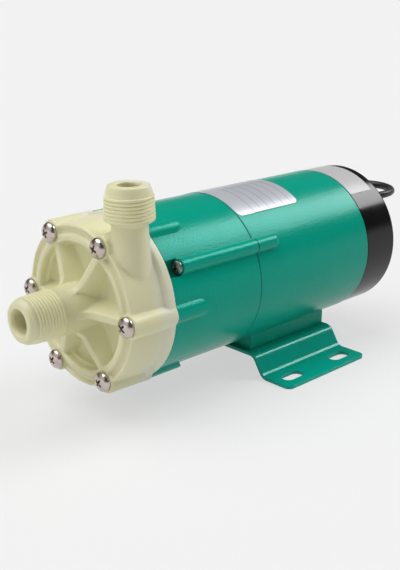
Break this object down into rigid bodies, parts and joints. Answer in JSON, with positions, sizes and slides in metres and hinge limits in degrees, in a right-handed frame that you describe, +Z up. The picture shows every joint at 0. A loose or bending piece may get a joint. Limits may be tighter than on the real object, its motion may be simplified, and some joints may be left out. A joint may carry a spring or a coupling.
{
  "type": "magnetic drive pump",
  "caption": "Magnetic drive pump: ivory moulded casing with threaded suction and discharge nozzles, green bracket and motor, black rear cover with cord, bent steel base.",
  "frame": {"origin": "on the floor, at the middle of the four base slots", "axes": "+X along the shaft from the suction nozzle to the motor, -Y towards the discharge side, +Z up"},
  "size_m": [0.303, 0.223, 0.1305],
  "materials": {
    "moulded_pp": "natural ivory moulded polypropylene, satin",
    "dark_pp": "moulded, dark grey",
    "ptfe": "turned, white",
    "alumina": "ground ceramic",
    "carbon": "moulded carbon, ground",
    "ferrite": "sintered magnet",
    "seal_rubber": "moulded",
    "yoke_steel": "turned",
    "green_paint": "green textured paint on cast aluminium",
    "green_plate": "green paint on bent sheet steel",
    "cast_aluminium": "as cast, turned seats",
    "core_steel": "stacked sheet",
    "copper_winding": "varnished copper wire",
    "shaft_steel": "ground",
    "bearing_steel": "ground and polished",
    "brass": "turned brass",
    "stainless": "polished stainless steel",
    "zinc_steel": "zinc plated",
    "black_cover": "black moulded plastic, satin gloss",
    "white_plastic": "moulded",
    "cord_pvc": "black flexible PVC"
  },
  "bodies": {
    "pump_frame": {"front_casing": "moulded_pp", "casing_screws": "stainless", "threaded_inserts": "brass", "mouth_ring": "ptfe", "front_thrust_ring": "alumina", "spindle": "alumina", "rear_thrust_washer": "alumina", "rear_casing": "moulded_pp", "casing_seal": "seal_rubber", "bracket": "green_paint", "bracket_screws": "zinc_steel", "motor_housing": "green_paint", "front_end_shield": "cast_aluminium", "rear_end_shield": "cast_aluminium", "stator_core": "core_steel", "end_windings": "copper_winding", "bearing_outer_rings": "bearing_steel", "wave_washer": "zinc_steel", "rear_cover": "black_cover", "cover_screws": "zinc_steel", "terminal_block": "white_plastic", "run_capacitor": "white_plastic", "capacitor_clip": "zinc_steel", "clip_screws": "zinc_steel", "cable_sleeve": "cord_pvc", "base_plate": "green_plate", "base_screws": "zinc_steel", "power_cord": "cord_pvc", "cord_coil": "cord_pvc", "cord_tail": "cord_pvc", "cord_tie": "white_plastic", "plug_body": "cord_pvc", "plug_pins": "brass"},
    "motor_rotor": {"motor_shaft": "shaft_steel", "rotor_core": "core_steel", "rotor_end_rings": "cast_aluminium", "bearing_inner_rings": "bearing_steel", "drive_yoke": "yoke_steel", "drive_magnets": "ferrite", "drive_set_screw": "zinc_steel"},
    "impeller_rotor": {"impeller": "moulded_pp", "impeller_shroud": "moulded_pp", "magnet_capsule": "dark_pp", "capsule_cap": "dark_pp", "inner_magnet": "ferrite", "impeller_bush": "carbon"},
    "bearing_sets": {"bearing_balls": "bearing_steel", "bearing_cages": "brass"}
  },
  "joints": [
    {"name": "rotor_spin", "type": "hinge", "parent": "pump_frame", "child": "motor_rotor", "pos_m": [-0.1, 0, 0.062], "axis": [-1, 0, 0], "continuous": true},
    {"name": "impeller_spin", "type": "hinge", "parent": "pump_frame", "child": "impeller_rotor", "pos_m": [-0.1, 0, 0.062], "axis": [-1, 0, 0], "continuous": true},
    {"name": "cage_spin", "type": "hinge", "parent": "pump_frame", "child": "bearing_sets", "pos_m": [-0.1, 0, 0.062], "axis": [-1, 0, 0], "continuous": true}
  ],
  "couplings": [
    {"joint": "impeller_spin", "follows": "rotor_spin", "ratio": 1},
    {"joint": "cage_spin", "follows": "rotor_spin", "ratio": 0.366}
  ]
}
